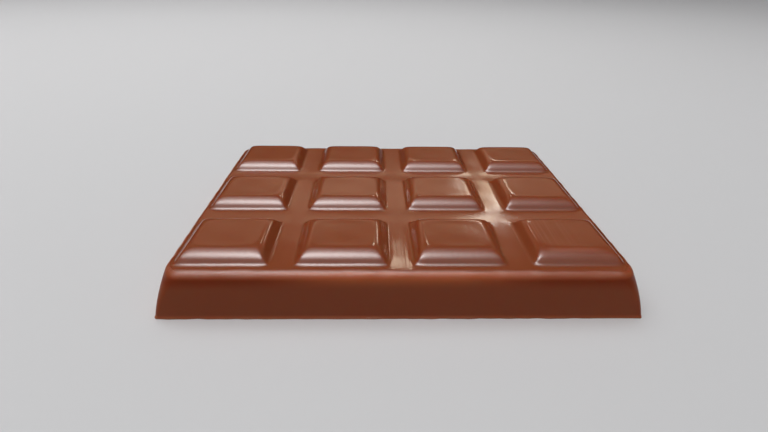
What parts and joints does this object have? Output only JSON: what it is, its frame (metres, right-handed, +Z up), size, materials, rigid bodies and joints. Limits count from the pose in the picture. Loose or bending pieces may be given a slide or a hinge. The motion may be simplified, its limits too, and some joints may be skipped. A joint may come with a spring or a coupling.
{
  "type": "chocolate bar",
  "caption": "Moulded bar of milk chocolate: a slab with drafted sides and a grid of raised, bevelled pads that break apart along its channels.",
  "frame": {"origin": "middle of the flat underside, on the surface that the bar lies on", "axes": "+X along the bar's longer side, +Y across it away from the front, +Z up out of the pads"},
  "size_m": [0.1028, 0.0782, 0.0124],
  "materials": {
    "milk_chocolate": "satin milk chocolate as it leaves a polished mould"
  },
  "bodies": {
    "root": {"chocolate_bar": "milk_chocolate"}
  },
  "joints": []
}
